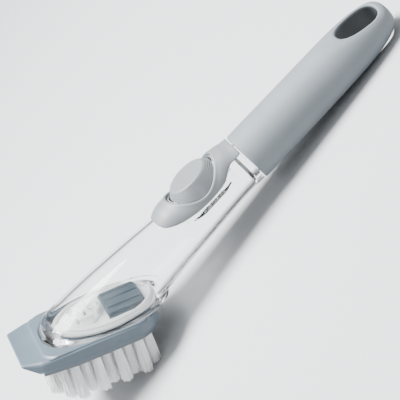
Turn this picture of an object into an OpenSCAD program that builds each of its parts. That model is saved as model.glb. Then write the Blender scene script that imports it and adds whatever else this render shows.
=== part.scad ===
// Soap dispensing dish wand with a push button pump and a refill brush head.
// It lies as it rests on a table: the rear heel of the bristles and the end of the handle touch z = 0.
// Inside lay() the tube runs along +X towards the handle, the button points to +Z,
// and x = 0 is the joint between the handle and the tube. Inside foot() the plane z = 0 is the
// sloped underside of the clear foot, with +X towards the handle.

/* [Handle] */
// Length of the handle from the joint to its end
handle_len = 113; // [100:1:130]
// Diameter of the handle at the joint
handle_d = 31; // [30:0.2:33]
// Thickness of the soft sleeve
grip_t = 1.4; // [1.2:0.1:1.8]
// Length of the hang slot
slot_len = 24; // [18:1:26]
// Width of the hang slot
slot_w = 9; // [7:0.5:10]
// Slope of the flat top of the handle end, in degrees
end_slope = 16.7; // [14:0.1:18]

/* [Screw neck] */
// Thickness of the handle's inner wall round the thread
core_wall = 1.2; // [1:0.1:1.8]
// Length of the neck past the joint
neck_len = 16; // [15:0.5:18]
// Lead of the thread
thread_pitch = 4; // [3.6:0.1:4.4]
// Height of the thread ridge
thread_h = 1.1; // [0.9:0.05:1.2]
// Turns of the ridge on the neck
thread_turns = 1.5; // [1.25:0.25:1.75]

/* [Tube] */
// Distance from the joint to the foot plane along the tube axis
foot_x = 120.6; // [112:0.2:130]
// Slope of the foot plane to the tube axis, in degrees
head_pitch = 27.4; // [26:0.1:29]
// Diameter of the tube below the collar
tube_d = 29.6; // [29:0.1:30]
// Wall of the tube
tube_wall = 2.2; // [1.8:0.1:2.4]
// Half width of the clear foot
foot_half_w = 26; // [25:0.1:26.6]
// Reach of the foot to the front, from where the tube axis meets its plane
foot_front = 33; // [32:0.2:34]
// Reach of the foot to the rear, from where the tube axis meets its plane
foot_rear = 40; // [39:0.2:41]

/* [Button and cover] */
// Place of the button's centre along the tube, from the joint
button_x = -29.7; // [-31:0.1:-29]
// Height of the button's top over the tube
button_h = 4.6; // [4.2:0.1:5.6]
// Travel of the button
button_travel = 4; // [3:0.1:4.2]
// Length of the cover
cover_len = 60.3; // [59:0.1:62]
// Height of the cover's crown over the tube
cover_h = 3.4; // [3:0.1:3.6]

/* [Brush head] */
// Half width of the head
head_half_w = 28; // [27.6:0.1:29]
// Depth of the side wall
head_wall_h = 6.7; // [6.4:0.1:7.4]
// Length of the free bristles
bristle_len = 21.5; // [18:0.5:24]
// Columns of tufts along the head
tuft_cols = 10; // [9:1:10]
// Rows of tufts across the head
tuft_rows = 6; // [5:1:6]
// Strands in each tuft
tuft_strands = 7; // [6:1:7]

/* [Hidden] */
$fn = 48;
// small overlap for clean cuts
e = 0.01;
// running gap between pieces that move on each other
gap = 0.3;

// the resting pose: the wand leans this much, and then moves to its origin
lean = 6.91;
rest_x = 27.1;
rest_z = 24.2;

handle_r = handle_d / 2;
tube_r = tube_d / 2;
core_r = handle_r - grip_t;
core_bore = core_r - core_wall;
neck_r = core_bore - thread_h - 0.4;
neck_bore = neck_r - 1.8;
button_z = tube_r + button_h;
// top of the seat that the bellows stands on, and radius of the saddle round it
seat_z = tube_r - 4.2;
saddle_r = tube_r - 4.8;
// the pump's round pieces grow with the saddle
pump_k = saddle_r / 10;

// smooth curve through a table of [place, value] pairs
function seg(t, x, i = 0) = (i >= len(t) - 2 || x < t[i + 1][0]) ? i : seg(t, x, i + 1);
function slope(t, i) = let(a = max(0, i - 1), b = min(len(t) - 1, i + 1))
    (t[b][1] - t[a][1]) / (t[b][0] - t[a][0]);
function curve(t, x) = let(
    i = seg(t, x),
    h = t[i + 1][0] - t[i][0],
    u = min(1, max(0, (x - t[i][0]) / h)),
    u2 = u * u,
    u3 = u2 * u)
    (2 * u3 - 3 * u2 + 1) * t[i][1] + (u3 - 2 * u2 + u) * h * slope(t, i)
    + (3 * u2 - 2 * u3) * t[i + 1][1] + (u3 - u2) * h * slope(t, i + 1);
function smooth(a, b, x) = let(u = min(1, max(0, (x - a) / (b - a)))) u * u * (3 - 2 * u);

// oval with its own half length to the front (-X) and the rear (+X)
function oval(front, rear, half, n, power = 2) = [for (i = [0:n - 1]) let(
    a = 360 * i / n,
    c = cos(a),
    s = sin(a),
    k = 2 / power)
    [sign(c) * pow(abs(c), k) * (c > 0 ? rear : front), sign(s) * pow(abs(s), k) * half]];

module lay() {
    translate([rest_x, 0, rest_z]) rotate([0, lean, 0]) children();
}

module foot() {
    lay() translate([-foot_x, 0, 0]) rotate([0, head_pitch, 0]) children();
}

// turned shape: its profile is drawn as [place along the tube, radius]
module turned(points) {
    rotate([90, 0, 90]) rotate_extrude() polygon([for (p = points) [p[1], p[0]]]);
}

// closed skin over rings of equal length, the first and last ring capped
module skin(rings) {
    n = len(rings[0]);
    m = len(rings);
    points = [for (r = rings) each r];
    sides = [for (j = [0:m - 2]) for (i = [0:n - 1]) let(
        a = j * n + i,
        b = j * n + (i + 1) % n,
        c = a + n,
        d = b + n)
        each [[a, b, d], [a, d, c]]];
    first = [for (i = [1:n - 2]) [0, i + 1, i]];
    last = [for (i = [1:n - 2]) [(m - 1) * n, (m - 1) * n + i, (m - 1) * n + i + 1]];
    polyhedron([for (p = points) p], concat(sides, first, last), convexity = 6);
}

// screw ridge round X: it starts at x0, and its tip lies at the radius tip
module ridge(x0, root, tip, turns, wide, narrow) {
    steps = 20;
    n = round(turns * steps);
    rings = [for (i = [0:n]) let(
        a = 360 * i / steps,
        x = x0 + thread_pitch * i / steps,
        grow = min(1, i / 3, (n - i) / 3),
        r = root + (tip - root) * (0.35 + 0.65 * grow))
        [for (p = [[-wide / 2, root], [-narrow / 2, r], [narrow / 2, r], [wide / 2, root]])
            [x + p[0], p[1] * cos(a), p[1] * sin(a)]]];
    skin(tip > root ? rings : [for (r = rings) [r[3], r[2], r[1], r[0]]]);
}

// handle

handle_profile = [[0.5, 0.97], [1.6, 1], [25, 0.994], [50, 0.98], [70, 0.96], [82, 0.935],
    [91, 0.897], [98, 0.85], [103, 0.795], [107, 0.72], [110.4, 0.6], [112.6, 0.43],
    [113.6, 0.24], [114, 0]];
slot_x = handle_len - 18.4;
end_cut_x = handle_len - 30.2;
scoop = 0.8;

module handle_form(inset) {
    difference() {
        turned(concat([[0.5, 0]], [for (p = handle_profile)
            [p[0] * (handle_len - inset) / 114, max(0, p[1] * handle_r - inset)]]));
        end_cut(inset);
    }
}

// everything over the sloped flat of the handle end
module end_cut(drop) {
    translate([end_cut_x, 0, handle_r - 2.7 - drop]) rotate([0, end_slope, 0])
        translate([-50, -30, 0]) cube([120, 60, 40]);
}

module hang_slot(grow) {
    straight = (slot_len - slot_w) / 2;
    translate([slot_x, 0, -25]) linear_extrude(50) {
        square([2 * straight, slot_w + 2 * grow], center = true);
        for (s = [-1, 1]) translate([s * straight, 0]) circle(slot_w / 2 + grow, $fn = 48);
    }
}

module handle_grip() {
    color([0.78, 0.79, 0.8]) lay() difference() {
        handle_form(0);
        translate([-e, 0, 0]) handle_form(grip_t);
        rotate([0, 90, 0]) cylinder(r = core_r - 0.6, h = 10);
        hang_slot(1.1);
        intersection() {
            hang_slot(2.6);
            end_cut(scoop);
        }
    }
}

module handle_core() {
    seat = neck_len + 1.7;
    color([0.62, 0.63, 0.65]) lay() difference() {
        union() {
            difference() {
                handle_form(grip_t);
                // the bore round the neck, the seat of the seal, and the hollow behind it
                turned([[-1, 0], [-1, core_bore + 0.3], [0.8, core_bore], [seat, core_bore],
                    [seat, core_r - 2.9], [slot_x - 34.6, core_r - 3.7], [slot_x - 23.6, core_r - 7.1],
                    [slot_x - 20.6, 0]]);
            }
            ridge(neck_thread_x + thread_pitch / 2, core_bore + 0.3, neck_r + 0.4,
                thread_turns, 2, 1);
            // rim of the hang slot
            intersection() {
                handle_form(0);
                hang_slot(1.1);
            }
        }
        hang_slot(0);
        end_cut(scoop);
    }
}

module handle_seal() {
    color([0.2, 0.2, 0.22]) lay() turned([[neck_len + 0.1, neck_r - 1.5],
        [neck_len + 0.1, core_bore - 0.3], [neck_len + 1.6, core_bore - 0.3],
        [neck_len + 1.6, neck_r - 1.5]]);
}

// tube

// points of the side outline: s, then x and z of the top line, x and z of the bottom line, half width
tube_lines = let(r = tube_r, w = foot_half_w) [[0, -4.2, r, -4.2, -r, r], [1, -16, r, -15, -r - 0.1, r],
    [2, -30, r, -28, -r - 0.7, r + 0.4], [3, -46, r, -41, -r - 1.5, r + 1],
    [4, -61, r + 0.2, -51, -r - 2, r + 1.6], [5, -76, r + 1.8, -59, -r - 2.4, w - 8.7],
    [6, -92, r + 3.3, -65.5, -r - 2.7, w - 7.6], [7, -108, r + 4.6, -71, -r - 3, w - 6.3],
    [8, -123, r + 5.4, -75.5, -r - 3.2, w - 4.8], [9, -136, r + 5.8, -79, -r - 3.3, w - 3.4]];
neck_thread_x = 4.5;
// squareness of the foot's oval
foot_power = 2.6;

function line_at(s, k) = curve([for (p = tube_lines) [p[0], p[k]]], s)
    * (k % 2 == 1 && k < 5 ? foot_x / 120.6 : 1);
// a point of the foot's side plane in tube coordinates
function foot_point(a, u) = [-foot_x + a * cos(head_pitch) + u * sin(head_pitch),
    -a * sin(head_pitch) + u * cos(head_pitch)];
function bent(v, power) = sign(v) * pow(abs(v), 2 / power);
// an oval ring between a top point and a bottom point, squarer with a higher power
function ring(t, b, half, n, power = 2) = [for (i = [0:n - 1]) let(
    c = bent(cos(360 * i / n), power),
    s = bent(sin(360 * i / n), power))
    [(t[0] + b[0]) / 2 + (t[0] - b[0]) / 2 * c, -half * s, (t[1] + b[1]) / 2 + (t[1] - b[1]) / 2 * c]];
function tube_rings(w, n) = [for (i = [0:12]) let(
    s = 9 * i / 12,
    lead = i == 0 ? w : 0)
    ring([line_at(s, 1) - lead, line_at(s, 2) - w], [line_at(s, 3) - lead, line_at(s, 4) + w],
        line_at(s, 5) - w, n)];

module tube_outside() {
    n = 40;
    f = foot_front;
    r = foot_rear;
    w = foot_half_w;
    skin(concat(tube_rings(0, n), [
        ring(foot_point(3.2 - f, 7), foot_point(r + 3.8, 2.2), w - 2.6, n, 2.2),
        ring(foot_point(1.8 - f, 4), foot_point(r + 3, 1.8), w - 1.8, n, 2.4),
        ring(foot_point(-f, 1.7), foot_point(r + 2.4, 1.45), w, n, foot_power),
        ring(foot_point(-f, 0), foot_point(r, 0), w, n, foot_power)]));
}

module tube_inside() {
    n = 32;
    f = foot_front;
    r = foot_rear;
    w = foot_half_w;
    skin(concat(tube_rings(tube_wall, n), [
        ring(foot_point(6.2 - f, 7.5), foot_point(r + 0.4, 2.6), w - 4.3, n, 2.2),
        ring(foot_point(7 - f, 3), foot_point(r - 1.6, 1.8), w - 2.9, n, 2.4),
        ring(foot_point(7 - f, -1), foot_point(r - 4, -1), w - 2.7, n, 2.4)]));
}

// the pump pocket that is let into the top of the tube, wider by off on every side
module pump_pocket(off) {
    difference() {
        translate([button_x, 0, saddle_r - 6.8 - off]) linear_extrude(40)
            polygon(oval(19.4 + off, 19.4 + off, tube_r - 0.8 + off, 48));
        translate([button_x - 25, 0, 0]) rotate([0, 90, 0]) cylinder(r = saddle_r - off, h = 50);
    }
}

// ears that carry the latch pin, under the rear of the foot
module latch_ears() {
    for (s = [-1, 1]) translate([pin_a, s * 10.1, 0]) rotate([90, 0, 0])
        linear_extrude(1.6, center = true) {
            translate([0, pin_u]) circle(1.9, $fn = 32);
            translate([-0.4, pin_u]) square([2.3, 1.6 - pin_u]);
        }
}

module reservoir() {
    color([0.9, 0.95, 1, 0.35]) difference() {
        union() {
            lay() tube_body();
            foot() latch_ears();
        }
        foot() translate([pin_a, 0, pin_u]) rotate([90, 0, 0]) cylinder(r = 0.9, h = 30, center = true);
    }
}

module tube_body() {
    difference() {
        union() {
            difference() {
                tube_outside();
                pump_pocket(0);
            }
            // collar and neck
            turned([[-5, 0], [-5, tube_r - 0.6], [-4.3, tube_r - 0.6], [-4.3, tube_r + 0.25],
                [-0.5, tube_r + 0.25], [-0.5, neck_r], [neck_len - 1, neck_r],
                [neck_len, neck_r - 0.8], [neck_len, 0]]);
            ridge(neck_thread_x, neck_r - 0.3, neck_r + thread_h, thread_turns, 2, 1);
            // seat of the bellows
            translate([button_x, 0, seat_z - 3.6]) cylinder(r = 8 * pump_k, h = 3.6);
        }
        difference() {
            tube_inside();
            pump_pocket(tube_wall);
        }
        turned([[-9, 0], [-9, tube_r - 2.7], [-6, tube_r - 2.7], [-3.5, neck_bore],
            [neck_len + 1, neck_bore], [neck_len + 1, 0]]);
        translate([button_x, 0, 5]) cylinder(r = 5.6 * pump_k, h = 20);
    }
}

// button and cover

function cover_edge(x) = curve([[0, 47], [4, 48.5], [8, 48], [10.5, 51.5], [15, 61.5], [19, 67],
    [24, 69.5], [30.5, 70.5], [38, 68.5], [45, 64], [51, 57.5], [55, 50], [58.3, 40], [60, 25],
    [60.3, 6]], x * 60.3 / cover_len);
function cover_rise(x) = curve([[0, 0.06], [4, 0.25], [8, 0.7], [12, 0.95], [16, 1], [50, 1],
    [54, 0.9], [57.5, 0.5], [60.3, 0.05]], x * 60.3 / cover_len);
// radius of the cover's outside at x from the joint and t from -1 to 1 across it
function cover_r(x, t) = tube_r + 0.8 + 0.45 * cover_rise(x)
    + (cover_h - 1.25) * cover_rise(x) * (1 - pow(abs(t), 3.4));
function cover_point(x, t, r) = let(a = t * cover_edge(x)) [-x, -r * sin(a), r * cos(a)];

module cover_shell() {
    nx = 30;
    nt = 18;
    xs = [for (i = [0:nx]) cover_len * (1 - pow(1 - i / nx, 1.25))];
    ts = [for (j = [0:nt]) -cos(180 * j / nt)];
    top = [for (x = xs) for (t = ts) cover_point(x, t, cover_r(x, t))];
    low = [for (x = xs) for (t = ts)
        cover_point(x, t, max(tube_r + 0.35 + 0.5 * smooth(20, 52, x), cover_r(x, t) - 1.6))];
    m = nt + 1;
    k = (nx + 1) * m;
    quads = [for (i = [0:nx - 1]) for (j = [0:nt - 1]) let(a = i * m + j)
        each [[a, a + m + 1, a + m], [a, a + 1, a + m + 1],
            [k + a, k + a + m, k + a + m + 1], [k + a, k + a + m + 1, k + a + 1]]];
    sides = [for (i = [0:nx - 1]) let(a = i * m, b = i * m + nt)
        each [[a, k + a + m, k + a], [a, a + m, k + a + m], [b, k + b + m, b + m], [b, k + b, k + b + m]]];
    ends = [for (j = [0:nt - 1]) let(a = j, b = nx * m + j)
        each [[a, k + a + 1, a + 1], [a, k + a, k + a + 1], [b, k + b + 1, k + b], [b, b + 1, k + b + 1]]];
    polyhedron(concat(top, low), concat(quads, sides, ends), convexity = 6);
}

module button_plan(grow) {
    polygon(oval(17 + grow, 17 + grow, tube_r - 1.1 + grow, 48));
}

module button_cover() {
    color([0.8, 0.81, 0.82]) lay() difference() {
        cover_shell();
        translate([button_x, 0, 0]) linear_extrude(30) button_plan(gap);
        // room for the button's stop ledges
        intersection() {
            translate([button_x, 0, 0]) linear_extrude(30) polygon(oval(19.2, 19.2, tube_r + 1.2, 48));
            translate([button_x, 0, tube_r]) cube([50, 17, 20], center = true);
            translate([button_x - 25, 0, 0]) rotate([0, 90, 0]) cylinder(r = tube_r + 2, h = 50);
        }
    }
}

// the button's outline at height z: it widens downwards, then its skirt runs straight
function button_ring(z, inset, n) = let(
    u = smooth(button_z, button_z - 6, z) * 0.35 + 0.65 * min(1, (button_z - z) / 6))
    [for (p = oval(12.2 + 4.8 * u - inset, 12.2 + 4.8 * u - inset, tube_r - 4.4 + 3.3 * u - inset, n))
        [p[0] + button_x, p[1], z]];

module button_form(inset, low) {
    n = 48;
    z0 = button_z - (inset > 0 ? 0.9 : 0);
    tops = inset > 0 ? [] : [button_ring(button_z, 1.2, n), button_ring(button_z - 0.25, 0.4, n)];
    skin(concat(tops, [for (z = [z0 - 0.7, z0 - 2.4, z0 - 4.2, z0 - 6, low]) button_ring(z, inset, n)]));
}

module button() {
    color([0.62, 0.63, 0.66]) lay() difference() {
        union() {
            button_form(0, 2);
            // stop ledges under the cover
            intersection() {
                translate([button_x, 0, saddle_r]) linear_extrude(6.4)
                    polygon(oval(18.4, 18.4, tube_r + 0.6, 48));
                translate([button_x, 0, saddle_r + 3]) cube([50, 14, 10], center = true);
                translate([button_x - 25, 0, 0]) rotate([0, 90, 0]) cylinder(r = tube_r + 1.6, h = 50);
            }
        }
        difference() {
            button_form(1.5, 1);
            // pusher over the bellows
            translate([button_x, 0, seat_z + 6.7]) cylinder(r = 5.5 * pump_k, h = 5);
        }
        // the underside follows the tube
        translate([button_x - 25, 0, 0]) rotate([0, 90, 0]) cylinder(r = tube_r + 0.8, h = 50);
    }
}

module pump_bellows() {
    color([0.85, 0.85, 0.86]) lay() translate([button_x, 0, 0]) rotate_extrude() polygon([for (p = [
        [5.7, 0], [7.8, 0], [7.8, 0.8], [6.6, 0.9], [6.3, 1.6], [7.2, 2.5], [7.2, 3], [6, 3.9], [6, 4.2],
        [6.6, 4.9], [6.4, 5.8], [5.4, 6.4], [0, 6.4], [0, 5.5], [4.9, 5.5], [5.5, 5], [4.9, 4.3],
        [4.9, 3.8], [6.1, 2.8], [5.2, 1.7], [5.2, 0.6], [5.7, 0.5]]) [p[0] * pump_k, p[1] + seat_z]]);
}

module pump_ring() {
    color([0.9, 0.9, 0.9]) lay() translate([button_x, 0, 0]) difference() {
        cylinder(r = 9.2 * pump_k, h = seat_z + 1.7);
        translate([0, 0, -1]) cylinder(r = 8.05 * pump_k, h = seat_z + 1.9);
        cylinder(r = 7.4 * pump_k, h = seat_z + 9.4);
        rotate([0, 90, 0]) cylinder(r = saddle_r + 0.05, h = 40, center = true);
    }
}

// foot and valve

valve_a = -6;
plate_top = 2.6;
pin_a = foot_rear - 6;
pin_u = -1.9;

// oval prism inside the foot, brought in by inset from its outline
module foot_oval(inset, low, high) {
    hl = foot_half_l - inset - 2.8;
    translate([(foot_rear - foot_front) / 2 + 1.5, 0, low]) linear_extrude(high - low)
        polygon(oval(hl, hl, foot_half_w - inset, 64));
}

// the arch of the latch bay, across the foot, standing on the height base
module arch(from, to, half, rise, base) {
    translate([from, 0, base]) rotate([90, 0, 90]) linear_extrude(to - from) intersection() {
        polygon(oval(half, half, rise, 40, 2.4));
        translate([-30, 0]) square([60, 30]);
    }
}

module foot_plate() {
    color([0.93, 0.94, 0.95]) foot() difference() {
        union() {
            foot_oval(4.5, 0.2, 2.6);
            // rim that backs the gasket
            difference() {
                foot_oval(5.3, 2, 4.2);
                foot_oval(6.7, 1, 5);
            }
        }
        // opening under the latch bay, and the bore of the valve
        translate([17, 0, 0]) cube([19.2, 22, 6], center = true);
        translate([valve_a, 0, -1]) cylinder(r = 7.75, h = 6);
    }
}

// shell over the latch, with ribs along it; it stands inside the plate's rim
module latch_housing() {
    color([0.5, 0.54, 0.59]) foot() difference() {
        intersection() {
            union() {
                arch(5.2, 27.4, 13, 3.9, plate_top);
                translate([6, 0, plate_top]) rotate([90, 0, 90]) linear_extrude(20.6)
                    for (t = [25, 57, 90, 123, 155])
                        translate([13 * bent(cos(t), 2.4), 3.9 * bent(sin(t), 2.4)]) circle(0.8, $fn = 12);
                // flange that rests on the plate
                translate([5.2, -13.6, plate_top]) cube([22.2, 27.2, 0.9]);
            }
            foot_oval(6.9, plate_top, 12);
        }
        arch(6.6, 25.8, 11.3, 2.5, plate_top - e);
    }
}

module foot_gasket() {
    color([0.86, 0.87, 0.88]) foot() difference() {
        foot_oval(3.1, 0.5, 2.1);
        foot_oval(4.4, 0, 3);
    }
}

module valve_cup() {
    color([0.95, 0.95, 0.94]) foot() translate([valve_a, 0, 0]) difference() {
        union() {
            rotate_extrude() polygon([[0, -5.5], [6.9, -5.5], [7.6, -4.8], [7.6, -4.2], [6.85, -4.2],
                [6.85, -2.4], [7.6, -2.4], [7.6, 2.7], [10.4, 2.7], [10.4, 3.8], [9.9, 3.8],
                [9.6, 6.6], [9.1, 6.9], [0, 6.9]]);
        }
        // the cup, the valve seat and the outlet
        rotate_extrude() polygon([[0, 8], [8.4, 8], [8.2, 3.7], [6.2, 3.7], [6.2, -2], [4.6, -2],
            [4.6, -6], [0, -6]]);
        // windows that let the soap in when the cup is shut by the clip
        for (a = [0:60:300]) rotate([0, 0, a]) translate([8.8, 0, 5.6]) cube([3, 3, 3], center = true);
    }
}

module outlet_valve() {
    color([0.9, 0.88, 0.85]) foot() translate([valve_a, 0, 0]) difference() {
        rotate_extrude() polygon([[4.4, -2], [6.1, -2], [6.1, -0.6], [4.6, -0.6], [4.2, -2.2], [3.2, -3.6],
            [0, -4.3], [0, -5.1], [3.6, -4.4], [4.4, -3.2]]);
        translate([0, 0, -4.7]) cube([4, 0.12, 3], center = true);
        translate([0, 0, -4.7]) cube([0.12, 4, 3], center = true);
    }
}

// ring and low slotted dome over the slit valve
module valve_clip() {
    color([0.93, 0.93, 0.92]) foot() translate([valve_a, 0, 0]) difference() {
        rotate_extrude() polygon([[4.8, -0.6], [6.15, -0.6], [6.15, 3.7], [8.1, 3.7], [8.1, 4.7],
            [7.3, 4.7], [6.7, 5.3], [5, 6.1], [2.6, 6.7], [0, 6.9], [0, 5.9], [2.4, 5.7], [4.2, 5.2],
            [4.8, 4.6]]);
        for (a = [30:60:330]) rotate([0, 0, a]) translate([2.7, -0.7, 4.9]) cube([3.1, 1.4, 4]);
    }
}

module spigot_seal() {
    color([0.15, 0.15, 0.16]) foot() translate([valve_a, 0, -3.3]) rotate_extrude()
        translate([7.1, 0]) intersection() {
            circle(0.75, $fn = 24);
            translate([-0.25, -1]) square([2, 2]);
        }
}

module latch_pin() {
    color([0.75, 0.75, 0.76]) foot() translate([pin_a, 0, pin_u]) rotate([90, 0, 0])
        cylinder(r = 0.9, h = 21.6, center = true, $fn = 32);
}

module release_tab() {
    color([0.3, 0.31, 0.33]) foot() difference() {
        union() {
            translate([pin_a, 0, pin_u]) rotate([90, 0, 0]) cylinder(r = 1.5, h = 18, center = true);
            rotate([90, 0, 0]) linear_extrude(18, center = true) polygon([[pin_a - 1.2, pin_u],
                [pin_a + 1.2, pin_u], [pin_a + 1.8, -4.5], [pin_a + 1.9, -7.2], [pin_a + 1.2, -8.1],
                [pin_a, -8.2], [pin_a - 0.9, -7.2], [pin_a - 1.1, -4.5]]);
            rotate([90, 0, 0]) linear_extrude(10.6, center = true) polygon([[pin_a - 1, -4],
                [pin_a - 3.8, -4.2], [pin_a - 3.2, -5.6], [pin_a - 1, -6.2]]);
        }
        translate([pin_a, 0, pin_u]) rotate([90, 0, 0]) cylinder(r = 0.95, h = 30, center = true);
    }
}

// brush head

head_top = -gap;
head_low = -gap - head_wall_h;
foot_half_l = (foot_front + foot_rear) / 2;
block_low = head_low - 4;

// plan of the head: scraper in front, round at the rear
module head_plan(inset) {
    k = head_half_w - 28;
    hull() {
        for (s = [-1, 1]) {
            translate([foot_rear - 25, s * (11.5 + k)]) circle(16.5 - inset, $fn = 40);
            translate([15 - foot_front, s * (11.5 + k)]) circle(16.5 - inset, $fn = 40);
            translate([-4 - foot_front, s * (16 + k)]) circle(9 - inset, $fn = 40);
        }
    }
}

// plan of the raised step round the foot
module step_plan() {
    k = head_half_w - 28;
    hull() {
        for (s = [-1, 1]) {
            translate([foot_rear - 25, s * (11.5 + k)]) circle(16.1, $fn = 40);
            translate([6.5 - foot_front, s * (17 + k)]) circle(9.6, $fn = 40);
        }
    }
}

module scraper_plan() {
    k = head_half_w - 28;
    hull() {
        for (s = [-1, 1]) {
            translate([-14.2 - foot_front, s * (19.2 + k)]) circle(2, $fn = 32);
            translate([-3 - foot_front, s * (17 + k)]) circle(9, $fn = 40);
        }
    }
}

module brush_body() {
    color([0.45, 0.5, 0.57]) foot() difference() {
        union() {
            difference() {
                head_shell();
                // the hollow that the tuft block fits
                translate([0, 0, head_low - 1]) linear_extrude(head_wall_h - 2.4) intersection() {
                    head_plan(2.4);
                    translate([-foot_front - 6.4, -40]) square([100, 80]);
                }
            }
            // socket of the valve cup
            translate([valve_a, 0, head_low]) cylinder(r = 9.5, h = 4.5);
        }
        // notch that the latch nose rests in, open towards the foot
        translate([pin_a - 4.6, -6, -6.6]) cube([10, 12, 10]);
        translate([valve_a, 0, -6.1]) cylinder(r = 7.95, h = 10);
        translate([valve_a, 0, -12]) cylinder(r = 3, h = 10);
    }
}

module head_shell() {
    translate([0, 0, head_low]) linear_extrude(head_wall_h) intersection() {
        head_plan(0);
        translate([-foot_front - 7.9, -40]) square([100, 80]);
    }
    // scraper: a wedge that thins out to its edge
    difference() {
        translate([0, 0, head_low]) linear_extrude(head_wall_h) scraper_plan();
        translate([-foot_front - 16.2, 0, head_top - 1.2]) rotate([0, 34, 0]) translate([-5, -40, -20])
            cube([40, 80, 20]);
    }
    // raised step round the clear foot
    translate([0, 0, head_top - 1]) linear_extrude(2) difference() {
        intersection() {
            step_plan();
            translate([-60, -40]) square([82, 80]);
        }
        translate([(foot_rear - foot_front) / 2, 0]) polygon(oval(foot_half_l + 0.4, foot_half_l + 0.4,
            foot_half_w + 0.4, 64, foot_power));
    }
    // grip nubs on the side walls
    for (s = [-1, 1]) translate([3, s * (head_half_w - 0.2), head_low + 2])
        cube([6, 1.6, 1.4], center = true);
}

col_step = 56.7 / (tuft_cols - 1);
row_step = 41 / (tuft_rows - 1);
// places of the tufts: every other column is set half a step across
tufts = [for (i = [0:tuft_cols - 1]) for (j = [0:tuft_rows - 1 - i % 2]) let(
    a = -35.2 + col_step * i,
    b = (j - (tuft_rows - 1 - i % 2) / 2) * row_step)
    if (norm([a - valve_a, b]) > 5.5 && (a > -34 || abs(b) < 17) && (a < 20 || abs(b) < 19)) [a, b]];
// depth of the trimmed tips under the foot plane
function tip_depth(a) = block_low - bristle_len
    + curve([[-36, 5.5], [-30, 1.8], [-24, 0.2], [-10, 0], [12, 0], [18, 0.5], [23, 2]], a);

module tuft_block() {
    color([0.5, 0.55, 0.61]) foot() difference() {
        translate([0, 0, block_low]) linear_extrude(head_top - 3.6 - block_low) intersection() {
            head_plan(2.6);
            translate([-foot_front - 6.2, -40]) square([100, 80]);
        }
        translate([valve_a, 0, -7.2]) cylinder(r = 9.7, h = 10);
        translate([valve_a, 0, -20]) cylinder(r = 2.6, h = 20);
        // tuft holes
        for (t = tufts) translate([t[0], t[1], block_low - 1]) cylinder(r = 2.1, h = 4.4, $fn = 6);
    }
}

module tuft_anchors() {
    color([0.8, 0.75, 0.55]) foot() for (t = tufts)
        translate([t[0], t[1], block_low + 2.6]) cube([0.4, 3.3, 1.4], center = true);
}

module bristles() {
    color([0.96, 0.96, 0.97]) difference() {
        foot() union() {
            // slice of the backing
            translate([0, 0, block_low - 0.9]) linear_extrude(0.9) intersection() {
                head_plan(3.2);
                translate([-foot_front - 5.6, -40]) square([100, 80]);
            }
            for (t = tufts) for (k = [0:tuft_strands - 1]) let(
                ring = k == 0 ? 0 : 1,
                a = 360 * k / (tuft_strands - 1) + 17 * t[0] + 11 * t[1],
                h = block_low - tip_depth(t[0]))
                translate([t[0] + 1.45 * ring * cos(a), t[1] + 1.45 * ring * sin(a), block_low - 0.4])
                    rotate([ring * 2.2 * sin(a), -ring * 2.2 * cos(a), 0]) mirror([0, 0, 1])
                        rotate([0, 0, 40 * k]) cylinder(r = 0.6, h = h - 0.4, $fn = 3);
        }
        translate([-400, -100, -50]) cube([800, 200, 50]);
    }
}

reservoir();
handle_core();
handle_grip();
handle_seal();
button_cover();
button();
pump_bellows();
pump_ring();
foot_plate();
foot_gasket();
latch_housing();
valve_cup();
outlet_valve();
valve_clip();
spigot_seal();
release_tab();
latch_pin();
brush_body();
tuft_block();
tuft_anchors();
bristles();
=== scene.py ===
import math

import bpy
import numpy as np
from mathutils import Matrix, Vector


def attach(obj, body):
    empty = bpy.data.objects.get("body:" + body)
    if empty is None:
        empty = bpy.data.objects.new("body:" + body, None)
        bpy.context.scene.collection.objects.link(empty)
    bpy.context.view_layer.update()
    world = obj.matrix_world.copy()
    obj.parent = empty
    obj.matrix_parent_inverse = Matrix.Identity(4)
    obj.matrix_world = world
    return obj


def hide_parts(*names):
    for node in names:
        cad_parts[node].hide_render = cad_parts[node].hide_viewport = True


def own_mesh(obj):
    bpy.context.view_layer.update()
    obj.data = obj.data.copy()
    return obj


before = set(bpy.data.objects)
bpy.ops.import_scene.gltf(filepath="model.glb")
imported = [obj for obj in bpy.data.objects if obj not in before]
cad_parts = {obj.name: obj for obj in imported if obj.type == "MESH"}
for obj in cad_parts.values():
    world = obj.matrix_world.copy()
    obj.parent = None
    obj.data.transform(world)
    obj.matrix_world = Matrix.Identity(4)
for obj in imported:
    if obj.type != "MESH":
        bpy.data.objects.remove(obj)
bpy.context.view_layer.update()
print("dish wand: frame loaded")


# places: the wand is drawn in millimetres along its own tube, then laid down as it rests

wandPose = {
    "lean": 6.91,          # degrees that the tube leans
    "restX": 27.1,         # where the joint of handle and tube comes to lie
    "restZ": 24.2,
    "footX": 120.6,        # joint to foot plane along the tube
    "headPitch": 27.4,     # slope of the foot plane to the tube
}


def joined(*values):
    # the coordinates of points side by side, each spread to the shape that all share
    return np.stack(np.broadcast_arrays(*values), -1)


def turnPair(p, q, degrees):
    # p' = p cos + q sin, q' = q cos - p sin
    c, s = math.cos(math.radians(degrees)), math.sin(math.radians(degrees))
    return p * c + q * s, q * c - p * s


def pitched(p, angle, alongX, alongZ):
    # turned about Y by the angle, then moved
    x, y, z = np.moveaxis(np.asarray(p, float), -1, 0)
    x, z = turnPair(x, z, angle)
    return joined(x + alongX, y, z + alongZ)


def fromTube(p):
    # millimetres on the tube to metres on the table
    return pitched(p, wandPose["lean"], wandPose["restX"], wandPose["restZ"]) / 1000


def footToTube(p):
    return pitched(p, wandPose["headPitch"], -wandPose["footX"], 0)


def fromFoot(p):
    return fromTube(footToTube(p))


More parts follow.
